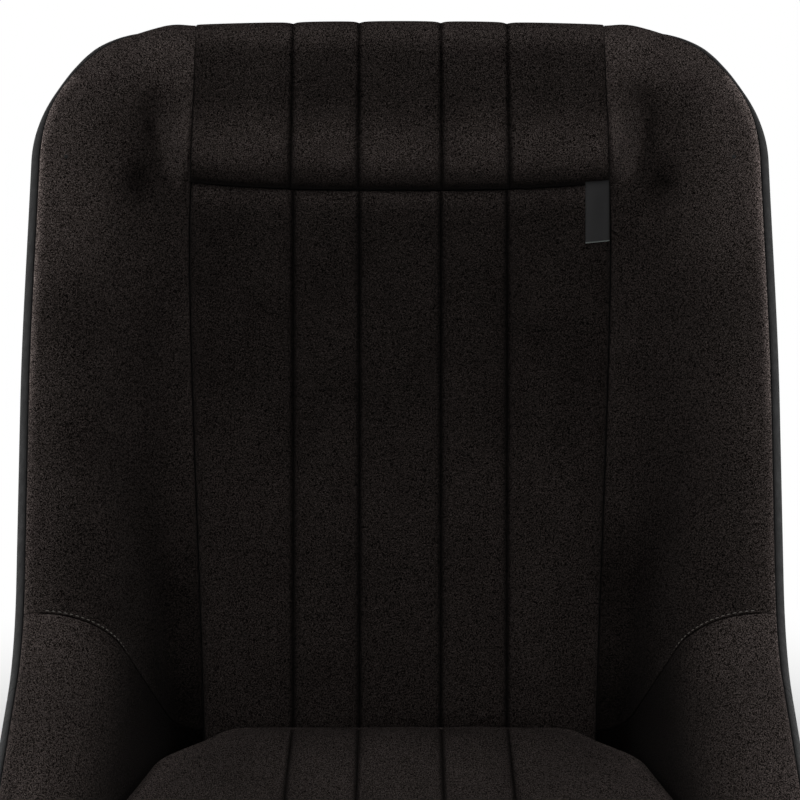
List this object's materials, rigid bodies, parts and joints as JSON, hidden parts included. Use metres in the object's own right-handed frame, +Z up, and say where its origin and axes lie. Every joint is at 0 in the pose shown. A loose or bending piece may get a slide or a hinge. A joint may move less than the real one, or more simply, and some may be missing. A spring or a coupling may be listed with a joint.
{
  "type": "racing bucket seat",
  "caption": "Low-back bucket seat with fluted cloth padding, a moulded shell, a lift-out cushion and sliding runners with a release bar.",
  "frame": {"origin": "centre of the four floor bolts, on the plane that the runners stand on", "axes": "+Z up, -Y the way the sitter faces, +X to the right of someone who looks at the front of the seat"},
  "size_m": [0.53, 0.6431, 0.5915],
  "materials": {
    "shell": "moulded glass-fibre, satin black",
    "vinyl": "grained black leathercloth",
    "cloth": "black woven seat cloth over thin backing foam",
    "label": "plain woven tape, dark grey",
    "foam": "open-cell seat foam, pale",
    "plywood": "birch plywood, sanded",
    "strip": "hook-and-loop tape, black",
    "rail": "zinc-plated pressed steel",
    "bearing": "polished steel",
    "cage": "natural nylon",
    "zinc": "bright zinc plate",
    "bar": "black powder coat, satin",
    "grip": "soft black grip"
  },
  "bodies": {
    "rails": {"lower_rail_left": "rail", "lower_rail_right": "rail"},
    "seat": {"seat_shell": "shell", "rear_cover": "vinyl", "base_side_cover_left": "vinyl", "base_side_cover_right": "vinyl", "back_foam": "foam", "back_panel": "cloth", "shoulder_roll": "cloth", "wing_cover_left": "cloth", "wing_cover_right": "cloth", "base_wing_left": "cloth", "base_wing_right": "cloth", "base_foam_left": "foam", "base_foam_right": "foam", "label_tab": "label", "nut_plates": "zinc", "seat_bolts": "zinc", "rear_spacers": "zinc", "shell_strips": "strip", "upper_rail_left": "rail", "upper_rail_right": "rail", "bracket_left": "zinc", "bracket_right": "zinc", "pivot_pins": "zinc", "pin_clips": "bearing", "return_springs": "bearing"},
    "cushion": {"cushion_board": "plywood", "cushion_foam": "foam", "cushion_cover": "cloth", "cushion_strips": "strip"},
    "release_bar": {"release_bar": "bar", "bar_grip": "grip"},
    "rolling_left": {"balls_left": "bearing", "ball_cage_left": "cage", "rollers_left": "bearing", "roller_cage_left": "cage"},
    "rolling_right": {"balls_right": "bearing", "ball_cage_right": "cage", "rollers_right": "bearing", "roller_cage_right": "cage"}
  },
  "joints": [
    {"name": "runner_slide", "type": "slide", "parent": "rails", "child": "seat", "axis": [0, -1, 0], "range_m": [-0.08, 0.08]},
    {"name": "cushion_lift", "type": "slide", "parent": "seat", "child": "cushion", "axis": [0, 0, 1], "range_m": [0, 0.25]},
    {"name": "bar_turn", "type": "hinge", "parent": "seat", "child": "release_bar", "pos_m": [0, -0.104, 0.015], "axis": [-1, 0, 0], "range_deg": [0, 8], "stiffness_Nm_per_rad": 1.5, "springref_deg": -11.46, "deforming": ["return_springs"]},
    {"name": "balls_roll_left", "type": "slide", "parent": "rails", "child": "rolling_left", "axis": [0, -1, 0], "range_m": [-0.04, 0.04]},
    {"name": "balls_roll_right", "type": "slide", "parent": "rails", "child": "rolling_right", "axis": [0, -1, 0], "range_m": [-0.04, 0.04]}
  ],
  "couplings": [
    {"joint": "balls_roll_left", "follows": "runner_slide", "ratio": 0.5},
    {"joint": "balls_roll_right", "follows": "runner_slide", "ratio": 0.5}
  ]
}
